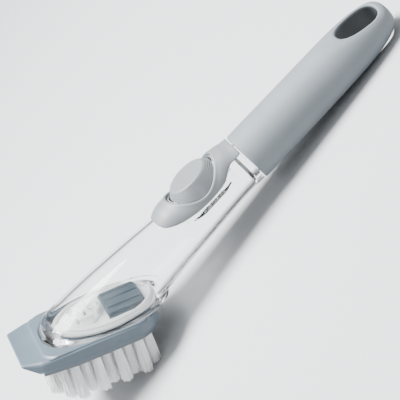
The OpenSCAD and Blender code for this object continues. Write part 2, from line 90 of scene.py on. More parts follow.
def curveThrough(table, x):
    # cubic Hermite curve through [place, value] pairs, each slope taken from the two neighbours
    t = np.array(table, float)
    n = len(t)
    x = np.asarray(x, float)
    lo, hi = np.maximum(np.arange(n) - 1, 0), np.minimum(np.arange(n) + 1, n - 1)
    m = (t[hi, 1] - t[lo, 1]) / (t[hi, 0] - t[lo, 0])
    i = np.clip(np.searchsorted(t[:, 0], x, side="right") - 1, 0, n - 2)
    h = t[i + 1, 0] - t[i, 0]
    u = np.clip((x - t[i, 0]) / h, 0, 1)
    return ((2 * u**3 - 3 * u**2 + 1) * t[i, 1] + (u**3 - 2 * u**2 + u) * h * m[i]
            + (3 * u**2 - 2 * u**3) * t[i + 1, 1] + (u**3 - u**2) * h * m[i + 1])


def softMin(a, b, k):
    # min(a, b) with its corner rounded over the width k
    h = np.maximum(k - np.abs(a - b), 0) / k
    return np.minimum(a, b) - h * h * k / 4


def softMax(a, b, k):
    return -softMin(-a, -b, k)


def smoothStep(a, b, x):
    # 3 u^2 - 2 u^3, u from 0 at a to 1 at b
    u = np.clip((x - a) / (b - a), 0, 1)
    return u * u * (3 - 2 * u)


def around(count):
    return np.linspace(0, 2 * math.pi, count, endpoint=False)


def quarterTurn(count):
    return np.linspace(0, math.pi / 2, count)


# mesh parts: a part is (points, faces), and a list of parts makes one mesh

def gridPart(points, wrap=True, loop=False):
    # points[j, i] is a surface of rows j and columns i: wrap closes each row, loop joins the last row to
    # the first, otherwise closed rows get two flat caps; a negative volume turns all faces round
    rows, cols = points.shape[:2]
    j = np.arange(rows if loop else rows - 1)[:, None]
    i = np.arange(cols if wrap else cols - 1)[None, :]
    j2, i2 = (j + 1) % rows, (i + 1) % cols
    quads = joined(j * cols + i, j * cols + i2, j2 * cols + i2, j2 * cols + i).reshape(-1, 4)
    pts = points.reshape(-1, 3)
    a, b, c, d = (pts[quads[:, k]] for k in range(4))
    faces = quads.tolist()
    volume = sixVolumes(a, b, c) + sixVolumes(a, c, d)
    if wrap and not loop:
        faces += [np.arange(cols)[::-1].tolist(), (np.arange(cols) + (rows - 1) * cols).tolist()]
        volume += fanVolume(pts[-cols:]) - fanVolume(pts[:cols])
    return pts, faces if volume >= 0 else [f[::-1] for f in faces]


def sixVolumes(a, b, c):
    # six times the volume between the origin and the triangles a b c
    return np.einsum("ij,ij->i", a, np.cross(b, c)).sum()


def fanVolume(ring):
    return sixVolumes(np.broadcast_to(ring[0], ring[1:-1].shape), ring[1:-1], ring[2:])


def tubePart(points, **settings):
    return gridPart(fromTube(points), **settings)


def footPart(points, **settings):
    return gridPart(fromFoot(points), **settings)


def makeMesh(name, parts):
    # a mesh stays as it is; one part or a list of parts becomes a mesh
    parts = parts if isinstance(parts, list) else [parts]
    if isinstance(parts[0], bpy.types.Mesh):
        return parts[0]
    points, faces, base = [], [], 0
    for pts, fs in parts:
        points.append(pts)
        faces += [[v + base for v in f] for f in fs] if base else fs
        base += len(pts)
    mesh = bpy.data.meshes.new(name)
    mesh.from_pydata(np.concatenate(points).tolist(), [], faces)
    mesh.validate()
    return mesh


def addObject(name, data):
    item = bpy.data.objects.new(name, data)
    bpy.context.scene.collection.objects.link(item)
    return item


def addPiece(name, parts, material, body, node, angle=40):
    # edges sharper than the angle in degrees stay sharp
    mesh = makeMesh(name, parts)
    mesh.polygons.foreach_set("use_smooth", [True] * len(mesh.polygons))
    mesh.set_sharp_from_angle(angle=math.radians(angle))
    mesh.update()
    mesh.materials.clear()
    mesh.materials.append(material)
    piece = addObject(name, mesh)
    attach(piece, body)
    if node:
        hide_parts(node)
    return piece


def less(*parts):
    return "DIFFERENCE", list(parts)


def plus(*parts):
    return "UNION", list(parts)


def within(*parts):
    return "INTERSECT", list(parts)


def cutMesh(name, base, *steps):
    # closed solids joined or cut one after the other
    target = addObject(name, makeMesh(name, base))
    for operation, parts in steps:
        tool = addObject("tool", makeMesh("tool", parts))
        step = target.modifiers.new("step", "BOOLEAN")
        step.operation, step.solver, step.object = operation, "MANIFOLD", tool
        done = bpy.data.meshes.new_from_object(target.evaluated_get(bpy.context.evaluated_depsgraph_get()))
        target.modifiers.clear()
        target.data = done
        bpy.data.objects.remove(tool)
    mesh = target.data
    bpy.data.objects.remove(target)
    return mesh


def roundedPath(points, radius):
    # a polyline whose inner corners are rounded: each corner becomes a short quadratic curve
    pts = np.array(points, float)
    if not radius:
        return pts
    out, t = [pts[:1]], np.linspace(0, 1, 5)[:, None]
    for a, b, c in zip(pts, pts[1:], pts[2:]):
        la, lc = np.linalg.norm(a - b), np.linalg.norm(c - b)
        r = min(radius, la * 0.45, lc * 0.45)
        p, q = b + (a - b) / la * r, b + (c - b) / lc * r
        out.append((1 - t) ** 2 * p + 2 * t * (1 - t) * b + t**2 * q)
    return np.concatenate(out + [pts[-1:]])


def turnedPart(profile, rounding, count, **settings):
    # profile of [x, radius] turned about the tube's axis: (x, r sin a, r cos a)
    x, r = roundedPath(profile, rounding).T[:, :, None]
    a = around(count)
    return tubePart(joined(x, r * np.sin(a), r * np.cos(a)), **settings)


def uprightRings(profile, centre, count):
    # profile of [height, radius] turned about an upright line through centre
    height, r = np.array(profile, float).T[:, :, None]
    t = around(count)
    return joined(centre[0] + r * np.cos(t), centre[1] + r * np.sin(t), height)


def bent(v, power):
    # superellipse form of a cosine or sine: sign(v) |v|^(2 / power)
    return np.sign(v) * np.abs(v) ** (2 / power)


def ovalRows(place, centre, front, rear, half, rows, count, power=2.0):
    # superellipse with its own half length to the front and the rear; rows are [offset, height]
    t = around(count)
    off, height = np.array(rows, float).T[:, :, None]
    c, s = bent(np.cos(t), power), bent(np.sin(t), power)
    x = centre + c * (np.where(c > 0, rear, front) + off)
    return place(joined(x, s * (half + off), height))


def hullOutline(circles, count):
    # outline stretched round circles (a, b, r) and their mirror images: each normal meets the circle that
    # reaches farthest
    c = np.array([(a, side * b, r) for a, b, r in circles for side in (-1, 1)], float)
    t = (np.arange(count) + 0.5) / count * 2 * math.pi
    n = joined(np.cos(t), np.sin(t))
    k = np.argmax(n @ c[:, :2].T + c[:, 2], 1)
    return c[k, :2] + n * c[k, 2:], n


def planPart(plan, rows):
    # rows of [offset, height] round an outline, the offset along its normals
    points, normal = plan
    return footPart([joined(*(points + normal * np.reshape(off, (-1, 1))).T, u) for off, u in rows])


def boxPart(low, high, place=fromFoot):
    x, y = np.array([[low[0], high[0], high[0], low[0]], [low[1], low[1], high[1], high[1]]], float)
    return gridPart(place(np.array([joined(x, y, z) for z in (low[2], high[2])])))


def barAcross(outline, rows):
    # outline of (a, u) points carried across the head: rows are [b, share of its size]
    line = np.array(outline, float)
    mid = line.mean(0)
    size, b = np.array(rows, float).T[::-1, :, None]
    a, u = (mid[k] + (line[:, k] - mid[k]) * size for k in (0, 1))
    return footPart(joined(a, b, u))


def roundedEnds(low, high, radius, size):
    # [place, share] rows whose ends are rounded over the radius, for an outline about size across
    t = quarterTurn(6)
    place, share = low + radius * (1 - np.cos(t)), 1 - 2 * radius / size * (1 - np.sin(t))
    return np.column_stack([np.r_[place, (low + high) / 2, low + high - place[::-1]],
                            np.r_[share, 1, share[::-1]]])


# materials

def toLinear(code):
    # sRGB hex to linear light
    v = np.array([int(code[k:k + 2], 16) / 255 for k in (0, 2, 4)])
    v = np.where(v <= 0.04045, v / 12.92, ((v + 0.055) / 1.055) ** 2.4)
    return (*v.tolist(), 1.0)


def addNode(tree, kind, output, inputs, **settings):
    # one node with its settings; an input is a value or another node's output
    item = tree.nodes.new(kind)
    for key, value in settings.items():
        setattr(item, key, value)
    for key, value in inputs.items():
        if isinstance(value, bpy.types.NodeSocket):
            tree.links.new(value, item.inputs[key])
        else:
            item.inputs[key].default_value = value
    return item.outputs[output] if output else item


def newMaterial(name):
    material = bpy.data.materials.new(name)
    material.use_nodes = True
    material.node_tree.nodes.clear()
    return material, material.node_tree


def setShader(material, inputs):
    shader = addNode(material.node_tree, "ShaderNodeBsdfPrincipled", "BSDF", inputs)
    addNode(material.node_tree, "ShaderNodeOutputMaterial", None, {"Surface": shader})
    return material


def noiseAt(tree, perMetre, detail, rough=0.5, stretch=(1, 1, 1)):
    place = addNode(tree, "ShaderNodeTexCoord", "Object", {})
    if stretch != (1, 1, 1):
        place = addNode(tree, "ShaderNodeMapping", "Vector", {"Vector": place, "Scale": stretch})
    return addNode(tree, "ShaderNodeTexNoise", "Fac",
                   {"Vector": place, "Scale": perMetre, "Detail": detail, "Roughness": rough})


def mapped(tree, value, low, high, first=0.0, last=1.0, **settings):
    # low where the value is first, high where it is last
    return addNode(tree, "ShaderNodeMapRange", "Result", {
        "Value": value, "From Min": first, "From Max": last, "To Min": low, "To Max": high}, **settings)


def mixed(tree, share, base, other):
    return addNode(tree, "ShaderNodeMix", "Result",
                   {"Factor": share, "A": toLinear(base), "B": toLinear(other)}, data_type="RGBA")


def relief(tree, height, strength, deep=0.0001):
    return addNode(tree, "ShaderNodeBump", "Normal",
                   {"Height": height, "Strength": strength, "Distance": deep})


def mouldedPlastic(name, base, lighter, rough, grain, bump, ior=1.5, soft=0.0):
    # moulded polymer: a cloudy change of tone about 20 mm wide, and a spark-eroded grain, its size in mm
    material, tree = newMaterial(name)
    cloud, fine = noiseAt(tree, 50, 2.0), noiseAt(tree, 1000 / grain, 2.0, 0.6)
    return setShader(material, {
        "Base Color": mixed(tree, mapped(tree, cloud, 0.0, 1.0, 0.3, 0.7), base, lighter),
        "Roughness": mapped(tree, fine, rough - 0.06, rough + 0.06), "Normal": relief(tree, fine, bump),
        "IOR": ior, "Subsurface Weight": soft, "Subsurface Radius": (1.0, 1.0, 1.0),
        "Subsurface Scale": 0.0015})


# soft-touch thermoplastic elastomer over the grip: a dry, even grey with a broad weak highlight
softTouchElastomer = mouldedPlastic("softTouchElastomer", "5F6569", "646A6E", 0.62, 0.35, 0.1, ior=1.4)
# polypropylene moulded in an eroded tool: satin, slightly waxy grey
satinPolypropylene = mouldedPlastic("satinPolypropylene", "5E6265", "64686B", 0.5, 0.4, 0.12, ior=1.42)
# the handle's harder inner moulding, seen as the lining of the hang slot: the handle's grey darkened,
# painted shade for the inside of the slot
shadedLiningPolypropylene = mouldedPlastic("shadedLiningPolypropylene", "3A3F41", "404547", 0.45, 0.5, 0.15)
# ABS of the brush head: cool blue grey, smooth with a soft gloss
blueGreyAbs = mouldedPlastic("blueGreyAbs", "455059", "4A555E", 0.42, 0.5, 0.06, ior=1.42)
# the block that holds the tufts: the head's blue grey darkened, painted shade where it sits back under the
# side wall
shadedTuftBlockAbs = mouldedPlastic("shadedTuftBlockAbs", "3C464E", "414B53", 0.4, 0.5, 0.08)
# acetal of the valve parts: milky white, light goes a little way in
milkyAcetal = mouldedPlastic("milkyAcetal", "F6F7F6", "FAFBFA", 0.35, 0.6, 0.05, soft=0.25)
# black nitrile of the seals
nitrileRubber = mouldedPlastic("nitrileRubber", "2B2C2E", "323335", 0.55, 0.3, 0.2)
# moulded silicone of the bellows and the slit valve: cloudy and matt
siliconeRubber = mouldedPlastic("siliconeRubber", "DDDEDC", "E4E5E3", 0.5, 0.4, 0.08, soft=0.4)
# dark grey acetal of the release tab
tabAcetal = mouldedPlastic("tabAcetal", "6F7475", "76797A", 0.4, 0.4, 0.1)


def drawnMetal(name, base, rough, grain):
    # drawn wire: fine lines along the wire, grain mm apart across it
    material, tree = newMaterial(name)
    lines = noiseAt(tree, 1000 / grain, 2.0, 0.6, (0.08, 1, 1))
    return setShader(material, {
        "Base Color": toLinear(base), "Metallic": 1.0, "Normal": relief(tree, lines, 0.1),
        "Roughness": mapped(tree, lines, rough - 0.08, rough + 0.1)})


# steel of the latch pin, and brass of the tuft anchors
stainlessWire = drawnMetal("stainlessWire", "C4C5C6", 0.25, 0.15)
brassWire = drawnMetal("brassWire", "C9A96A", 0.3, 0.15)


def clearPlastic(name, tint, ior, ripple):
    # clear moulded plastic: it refracts, with weak flow ripples about 12 mm long on its skin
    material, tree = newMaterial(name)
    flow = noiseAt(tree, 90, 1.0, 0.4, (0.5, 1, 1))
    return setShader(material, {
        "Base Color": toLinear(tint), "Transmission Weight": 1.0, "IOR": ior,
        "Roughness": mapped(tree, flow, 0.0, 0.03), "Normal": relief(tree, flow, ripple, 0.0004)})


# styrene acrylonitrile of the reservoir: water clear and glossy, bright at the edges
clearStyrene = clearPlastic("clearStyrene", "FDFEFE", 1.25, 0.06)


def nylonMaterial(name, base, tip):
    # nylon filament: white with some light through it, and a faint even white glow that is painted light to
    # brighten the tufts;
    # along the strand (UV y) it greys a little at the root
    material, tree = newMaterial(name)
    strand = addNode(tree, "ShaderNodeUVMap", "UV", {}, uv_map="strand")
    along = addNode(tree, "ShaderNodeSeparateXYZ", None, {"Vector": strand}).outputs
    return setShader(material, {
        "Base Color": mixed(tree, mapped(tree, along["Y"], 0.0, 1.0, last=0.5), base, tip),
        "Roughness": mapped(tree, along["X"], 0.3, 0.42), "IOR": 1.53, "Subsurface Weight": 1.0,
        "Subsurface Radius": (1.0, 1.0, 1.0), "Subsurface Scale": 0.0004,
        # constant white glow: painted light, the strands are no lamp
        "Emission Color": (1.0, 1.0, 1.0, 1.0), "Emission Strength": 0.06})


nylonFilament = nylonMaterial("nylonFilament", "F8F9F9", "FEFEFE")
print("dish wand: materials made")


# handle: a turned form with the hang slot through its sloped end; it stands a little turned on its screw

handle = {
    "length": 113.0, "radius": 15.5, "sleeve": 1.4,
    "rise": 0.55,          # its end curves up a little
    "turned": -17.0,       # degrees about the tube from the button to the slot
    "flatSlope": 12.7, "flatStart": 84.0, "flatHeight": 13.6, "flatBlend": 3.0,
    "slotX": 98.5, "slotFront": 17.0, "slotRear": 9.3, "slotHalf": 7.6, "slotPower": 2.4,
    "rim": 1.5, "rimDepth": 1.4, "lipDepth": 2.2,
    "profile": [[0.5, 0.97], [1.6, 1], [25, 0.994], [50, 0.982], [70, 0.972], [82, 0.951], [91, 0.913],
                [98, 0.862], [103, 0.8], [107, 0.722], [110.4, 0.61], [112.6, 0.44], [113.6, 0.25],
                [114, 0]],
}


def fromHandle(p):
    # the handle's own plane turned about the tube's axis, and its end raised by rise (x / length)^2
    x, y, z = np.moveaxis(np.asarray(p, float), -1, 0)
    y, z = turnPair(y, z, handle["turned"])
    return fromTube(joined(x, y, z + handle["rise"] * (x / handle["length"]) ** 2))


def handleRadius(x, inset=0.0):
    # the profile's radius at x, brought in by inset all round
    scale = (handle["length"] - inset) / handle["profile"][-1][0]
    return np.maximum(0, curveThrough(handle["profile"], x / scale) * handle["radius"] - inset)


def flatAt(x):
    # height of the slope that cuts the end
    return handle["flatHeight"] - (x - handle["flatStart"]) * math.tan(math.radians(handle["flatSlope"]))


def handleSkin(x, y, side):
    # height of the skin over the axis: the turned form, and on top no higher than the slope
    r = handleRadius(x)
    high = np.sqrt(np.maximum(r * r - y * y, 0))
    return softMin(high, flatAt(x), handle["flatBlend"]) if side > 0 else -high


def handleRings(inset, places, count):
    # ring at x: (r sin a, r cos a), its height brought under the slope
    a = around(count)
    x = np.asarray(places, float)[:, None]
    r = handleRadius(x, inset)
    z = r * np.cos(a)
    z = np.where(z > 0, softMin(z, flatAt(x) - inset, handle["flatBlend"]), z)
    return joined(x, r * np.sin(a), z)


def slotRing(offset, count):
    # plan of the slot: an egg, superellipse halves of their own length to the front and the rear
    return ovalRows(np.asarray, handle["slotX"], handle["slotFront"], handle["slotRear"],
                    handle["slotHalf"], [[offset, 0]], count, handle["slotPower"])[0][:, :2]


def slotSolid(offset, count, far=30.0):
    ring = slotRing(offset, count)
    return gridPart(fromHandle([joined(*ring.T, z) for z in (-far, far)]))


def slotLip(side, count):
    # soft rim of the slot: a quarter round from the skin into the slot, a short wall and its own back
    rim, deep, low = handle["rim"], handle["rimDepth"], handle["lipDepth"]
    line = [(rim * (1 - math.sin(v)), deep * (1 - math.cos(v))) for v in quarterTurn(9)]
    rows = []
    for offset, depth in line + [(0, low), (rim + 0.3, low), (rim + 0.3, 0.4)]:
        ring = slotRing(offset, count)
        rows.append(joined(*ring.T, handleSkin(*ring.T, side) - side * depth))
    return gridPart(fromHandle(rows), loop=True)


def towardsEnd(first, last, count):
    # places that crowd towards the closed end: first + (last - first) sin v
    return first + (last - first) * np.sin(np.linspace(0.05, math.pi / 2, count))


def buildHandle():
    count, end = 160, handle["length"]
    outer = np.r_[0.5, 0.7, 1.0, 1.4, 2.0, 4.0, np.linspace(6, 104, 90), towardsEnd(104, end - 0.02, 26)]
    inner = np.r_[np.linspace(0.55, 100, 60), towardsEnd(100, end - 1.5, 16)]
    rings = [handleRings(handle["sleeve"], inner[::-1], count), handleRings(0, outer, count)]
    mesh = cutMesh("handleSleeve", gridPart(fromHandle(np.concatenate(rings))),
                   less(slotSolid(handle["rim"], count)), plus(slotLip(1, count)), plus(slotLip(-1, count)))
    addPiece("handleSleeve", mesh, softTouchElastomer, "handle", "handle_grip")
    # wall of the slot, from lip to lip and back behind itself
    rows = []
    for offset, levels in ((0.05, np.linspace(0, 1, 14)), (1.2, np.linspace(1, 0, 4))):
        ring = slotRing(offset, count)
        top, bottom = (handleSkin(*ring.T, side) - side * (handle["lipDepth"] - 0.3) for side in (1, -1))
        rows += [joined(*ring.T, top + (bottom - top) * w) for w in levels]
    lining = gridPart(fromHandle(rows), loop=True)
    # bore that screws over the neck, its seal seat and the closed hollow behind it
    bore = roundedPath([[0.6, 13.9], [0.55, 13.25], [0.9, 12.9], [17.7, 12.9], [17.7, 11.2], [60, 10.4],
                        [71, 7], [74, 0.01]], 0.3)
    back = np.array([[75.5, 0.01], [73, 8.5], [60, 13.0], [4, 14.0], [1.2, 14.05]])
    core = turnedPart(np.concatenate([bore, back]), 0, 96)
    # slot wall and bore in the darkened grey: painted shade inside the handle
    addPiece("handleLining", lining, shadedLiningPolypropylene, "handle", None, 50)
    addPiece("handleBore", [core, ridgePart(6.5, 13.2, 11.8)], shadedLiningPolypropylene, "handle",
             "handle_core")


screw = {"turns": 1.5, "lead": 4.0, "root": 2.0, "crest": 1.0, "perTurn": 48}


def ridgePart(start, root, tip):
    # screw ridge: a trapezium carried along x = start + lead * angle / 360, low at both ends
    k = np.arange(int(screw["turns"] * screw["perTurn"]) + 1)
    a = (k / screw["perTurn"] * 2 * math.pi)[:, None]
    grow = 0.35 + 0.65 * np.clip(np.minimum(k / 8, (k[-1] - k) / 8), 0, 1)
    r = root + (tip - root) * grow
    x = start + screw["lead"] * k / screw["perTurn"]
    x = x[:, None] + np.array([-screw["root"], -screw["crest"], screw["crest"], screw["root"]]) / 2
    r = joined(root, r, r, root)
    return tubePart(joined(x, r * np.cos(a), r * np.sin(a)))


buildHandle()
print("dish wand: handle made")


# reservoir: "lines" are its rings from the collar down, as number, top x z, bottom x z and half width;
# the foot's rings follow, as top and bottom a u of the foot frame, half width and superellipse power

tube = {
    "wall": 2.2, "neckRadius": 11.4, "neckLength": 16.0, "neckWall": 1.8, "buttonX": -29.7,
    "portRadius": 5.6, "seatRadius": 8.0, "seatTop": 10.6,
    "lines": [[0, -4.2, 14.8, -4.2, -14.8, 14.8], [1, -16, 14.8, -15, -14.9, 14.8],
              [2, -30, 14.8, -28, -15.5, 15.2], [3, -46, 14.8, -41, -16.3, 15.8],
              [4, -61, 15, -51, -16.8, 16.4], [5, -76, 16.6, -59, -17.2, 17.3],
              [6, -92, 18.1, -65.5, -17.5, 18.4], [7, -108, 19.4, -71, -17.8, 19.7],
              [8, -123, 20.2, -75.5, -18, 21.2], [9, -136, 20.6, -79, -18.1, 22.6]],
    "footOuter": [[-29.8, 7, 43.8, 2.2, 23.4, 2.2], [-31.2, 4, 43, 1.8, 24.2, 2.4],
                  [-33, 1.7, 42.4, 1.45, 26, 2.6], [-33, 0, 40, 0, 26, 2.6]],
    "footInner": [[-26.8, 7.5, 40.4, 2.6, 21.7, 2.2], [-26, 3, 38.4, 1.8, 23.1, 2.4],
                  [-26, -1, 36, -1, 23.3, 2.4]],
}
# well of the pump: half length and width, height of its floor, radius of the saddle, their blend, and
# how far the floor's edge is raised
pocket = {"long": 19.4, "wide": 14.0, "floor": 3.2, "saddle": 10.0, "blend": 1.5, "raised": 1.2}
# latch: its pin at (a, u) of the foot frame, and the two ears that hold it
latch = {"pin": (34.0, -1.9), "pinRadius": 0.9,
         "earRound": 1.9, "earPlace": 10.1, "earHalf": 0.8, "earTop": 1.0}


def outlineRows(foot, w):
    # the side outline with the wall w taken off, followed by the foot's rings in tube coordinates
    rows = np.array(tube["lines"])[:, 1:] + w * np.array([0, -1, 0, 1, -1])
    rows[0, [0, 2]] -= w
    f = np.array(foot)
    top, low = (footToTube(joined(f[:, k], 0, f[:, k + 1]))[:, [0, 2]] for k in (0, 2))
    ends = np.column_stack([top, low, f[:, 4:]])
    return np.concatenate([np.column_stack([rows, np.full(len(rows), 2.0)]), ends])


def tubeSurface(foot, w, perStep, count):
    # superellipse between a top and a bottom point: centre + (top - bottom) / 2 cos a, half width sin a,
    # squarer at the foot, with perStep rings from row to row and one for the last
    rows = outlineRows(foot, w)
    n = len(rows)
    s = np.append(np.linspace(0, n - 2, (n - 2) * perStep + 1), n - 1)
    v = [curveThrough(joined(np.arange(n), rows[:, k]), s)[:, None] for k in range(6)]
    a = around(count)
    c, sine = bent(np.cos(a), v[5]), bent(np.sin(a), v[5])
    x = (v[0] + v[2]) / 2 + (v[0] - v[2]) / 2 * c
    z = (v[1] + v[3]) / 2 + (v[1] - v[3]) / 2 * c
    return joined(x, -v[4] * sine, z)


def pocketSolid(off):
    # the pump pocket: an upright oval well whose floor is a saddle over the round r = saddle - off
    long = pocket["long"] + off
    rows = ovalRows(np.asarray, tube["buttonX"], long, long, pocket["wide"] + off, [[0, 0], [0, 40]], 96)
    rho = np.linspace(0.02, 1, 24)[:, None, None]
    well = rows[:1] * [1, 1, 0] * rho + (1 - rho) * [tube["buttonX"], 0, 0]
    saddle = np.sqrt(np.maximum((pocket["saddle"] - off) ** 2 - well[..., 1] ** 2, 0))
    floor = softMax(0 * saddle + pocket["floor"] - off, saddle, pocket["blend"])
    well[..., 2] = floor + pocket["raised"] * smoothStep(0.88, 1.0, rho[..., 0])
    return tubePart(np.concatenate([well, rows[1:]]))


def buttonRings(profile, count):
    # profile turned about the button's upright line
    return uprightRings(profile, (tube["buttonX"], 0), count)


def pinRings(rows, count):
    # rings of [b, radius] round the latch pin, which lies across the head
    b, r = np.array(rows, float).T[:, :, None]
    (a, u), t = latch["pin"], around(count)
    return joined(a + r * np.cos(t), b, u + r * np.sin(t))


def earPart(side):
    # a rounded tongue across the head, its round about the pin
    t, top = np.linspace(-math.pi, 0, 17), latch["earTop"]
    (a, u), r = latch["pin"], latch["earRound"]
    arc = joined(a + r * np.cos(t), u + r * np.sin(t))
    outline = np.concatenate([arc, [[a + r, top], [a - r, top]]])
    place, half = side * latch["earPlace"], latch["earHalf"]
    return barAcross(outline, [[place - half, 1], [place + half, 1]])


def buildReservoir():
    neck, end, wall = tube["neckRadius"], tube["neckLength"], tube["neckWall"]
    outer = tubePart(tubeSurface(tube["footOuter"], 0, 10, 144))
    inner = tubePart(tubeSurface(tube["footInner"], tube["wall"], 10, 128))
    collar = turnedPart([[-5.5, 0.01], [-5.5, 14.2], [-4.3, 14.2], [-4.3, 15.05], [-0.5, 15.05],
                         [-0.5, neck], [end - 0.9, neck], [end, neck - 0.8], [end, 0.01]], 0.25, 128)
    bore = turnedPart([[-9, 0.01], [-9, 12.1], [-6, 12.1], [-3.5, neck - wall], [end + 1, neck - wall],
                       [end + 1, 0.01]], 0.8, 128)
    thread = ridgePart(4.5, neck - 0.3, neck + 1.1)
    seat = tubePart(buttonRings([[7, tube["seatRadius"]], [tube["seatTop"], tube["seatRadius"]]], 64))
    port = tubePart(buttonRings([[5, tube["portRadius"]], [25, tube["portRadius"]]], 64))
    pin = footPart(pinRings([[-15, latch["pinRadius"]], [15, latch["pinRadius"]]], 32))
    hollow = cutMesh("hollow", inner, less(pocketSolid(tube["wall"])))
    mesh = cutMesh("reservoirShell", outer, less(pocketSolid(0)), plus(collar), plus(thread), plus(seat),
                   less(hollow), less(bore), less(port), plus(earPart(-1)), plus(earPart(1)), less(pin))
    addPiece("reservoirShell", mesh, clearStyrene, "wand", "reservoir", 30)


buildReservoir()
print("dish wand: reservoir made")


# cover of the pump: a thin saddle on the tube, wider round the button; along x, "edge" is the half angle
# of its side in degrees and "rise" its share of the full height

cover = {
    "length": 60.3, "low": 15.6, "step": 0.45, "crown": 18.2, "thick": 1.6, "seatRadius": 15.15,
    "edgeRound": 0.55, "lip": 0.28, "lipPlace": 1.1, "lipWide": 0.8,
    "hole": [17.3, 14.0], "holeRadius": 16.9,
    "gap": 0.4,            # open joint to the handle
    "edge": [[0, 47], [4, 48.5], [8, 48], [10.5, 51.5], [15, 61.5], [19, 67], [24, 69.5], [30.5, 70.5],
             [38, 68.5], [45, 64], [51, 57.5], [55, 50], [58.3, 40], [60, 25], [60.3, 6]],
    "rise": [[0, 0.06], [4, 0.25], [8, 0.7], [12, 0.95], [16, 1], [50, 1], [54, 0.9], [57.5, 0.5],
             [60.3, 0.05]],
}


def coverHeight(x, angle):
    # radius of the outside: low + step rise + (crown - low - step) rise (1 - |t|^3.4), t = angle / edge
    rise = curveThrough(cover["rise"], x)
    t = np.clip(np.abs(np.degrees(angle)) / curveThrough(cover["edge"], x), 0, 1)
    crown = cover["crown"] - (cover["low"] + cover["step"])
    return cover["low"] + cover["step"] * rise + crown * rise * (1 - t**3.4)


def coverOutline(count):
    # outer edge as distance from the button's centre for each polar angle, in the plane of x and arc length
    centre, end, gap = -tube["buttonX"], cover["length"], cover["gap"]
    xs = np.concatenate([np.linspace(gap, 58, 300), 58 + (end - 58) * np.sin(quarterTurn(80))])
    arc = np.radians(curveThrough(cover["edge"], xs)) * cover["low"]
    front = joined(centre - gap, np.linspace(0, arc[0], 60))[:-1]
    nose = joined(centre - end, np.linspace(arc[-1], 0, 12))[1:]
    line = np.concatenate([front, joined(centre - xs, arc), nose])
    polar = np.arctan2(line[:, 1], line[:, 0])
    order = np.argsort(polar)
    a = np.linspace(-math.pi, math.pi, count, endpoint=False)
    return a, np.interp(np.abs(a), polar[order], np.hypot(line[:, 0], line[:, 1])[order])


def buildCover():
    a, reach = coverOutline(220)
    s, c = np.sin(a), np.cos(a)
    # the hole is an upright oval of half sizes hx and hy, met where (x / hx)^2 + (y / hy)^2 = 1
    hx, hy = cover["hole"]
    hole = np.full(len(a), hx)
    for _ in range(30):
        y = cover["holeRadius"] * np.sin(hole * s / cover["low"])
        hole = hole / np.hypot(hole * c / hx, y / hy)
    radius, wide = cover["edgeRound"], reach - hole
    # outside from the hole to the edge as (distance, drop), both ends rounded, then the underside back
    near = radius * (1 - np.cos(quarterTurn(7)))
    drop = radius - np.sqrt(np.maximum(0, radius**2 - (radius - near) ** 2))
    rows = [(hole + d, h) for d, h in zip(near, drop)]
    rows += [(hole + radius + (wide - 2 * radius) * w, 0) for w in np.linspace(0, 1, 16)[1:-1]]
    rows += [(reach - d, h) for d, h in zip(near[::-1], drop[::-1])]
    rows += [(hole + wide * w, None) for w in (1.0, 0.75, 0.5, 0.25, 0.0)]
    points = []
    for dist, h in rows:
        x, angle = -tube["buttonX"] - dist * c, dist * s / cover["low"]
        high = coverHeight(x, angle)
        if h is None:
            high = np.maximum(cover["seatRadius"] + 0.5 * smoothStep(20, 52, x), high - cover["thick"])
        else:
            high += cover["lip"] * np.exp(-((dist - hole - cover["lipPlace"]) / cover["lipWide"]) ** 2) - h
        points.append(joined(-x, high * np.sin(angle), high * np.cos(angle)))
    # short apron under the end, in front of the collar
    angle = np.radians(np.linspace(-46, 46, 40))[:, None]
    x, radius = np.array([[-0.47, -0.41, -0.41, -0.47], [12.4, 12.4, 15.6, 15.6]])
    apron = tubePart(joined(x, radius * np.sin(angle), radius * np.cos(angle)))
    addPiece("pumpCover", [tubePart(points, loop=True), apron], satinPolypropylene, "wand",
             "button_cover")


# button: an oval cone; "flare" is what it gains along and across the tube down to its foot

button = {
    "top": 19.4, "dish": 0.35, "edge": 0.9, "wall": 1.5, "halfLong": 12.2, "halfWide": 10.4,
    "flare": (4.8, 3.3), "flareEnds": 6.0, "flareSides": 10.0, "under": 15.65, "inside": 17.7, "stem": 5.5,
    "line": 0.12, "pitch": 0.8,                        # fine grip lines round the flank
    "ledgeNear": (16.2, 13.0), "ledgeFar": (18.3, 15.3), "ledgeHalf": 6.9, "ledgeThick": 0.7,
}


def buttonRing(z, inset, count, share=1.0):
    # half sizes halfLong and halfWide, each plus flare u, u from 0 at the top to 1 at flareEnds below it
    # (flareSides at the sides), less a sine of the height line every pitch
    t = around(count)
    depth = button["top"] - z
    reach = button["flareEnds"] + (button["flareSides"] - button["flareEnds"]) * np.sin(t) ** 8
    u = np.clip(depth / reach, 0, 1)
    line = button["line"] * np.sin(2 * math.pi * depth / button["pitch"])
    inset = inset + line * smoothStep(0.9, 1.4, depth)
    x = (button["halfLong"] + button["flare"][0] * u - inset) * share * np.cos(t)
    y = (button["halfWide"] + button["flare"][1] * u - inset) * share * np.sin(t)
    return joined(x + tube["buttonX"], y, z)


def ledgePart(side):
    # stop ledge under the cover: an arc between two ovals of half sizes ledgeNear and ledgeFar
    y = np.linspace(-button["ledgeHalf"], button["ledgeHalf"], 15)
    near, far = (tube["buttonX"] + side * size[0] * np.sqrt(1 - (y / size[1]) ** 2)
                 for size in (button["ledgeNear"], button["ledgeFar"]))
    high, low = (np.sqrt((button["under"] + k) ** 2 - y * y) for k in (button["ledgeThick"], 0))
    corners = ((near, high), (far, high), (far, low), (near, low))
    return tubePart(np.stack([joined(x, y, z) for x, z in corners], 1))


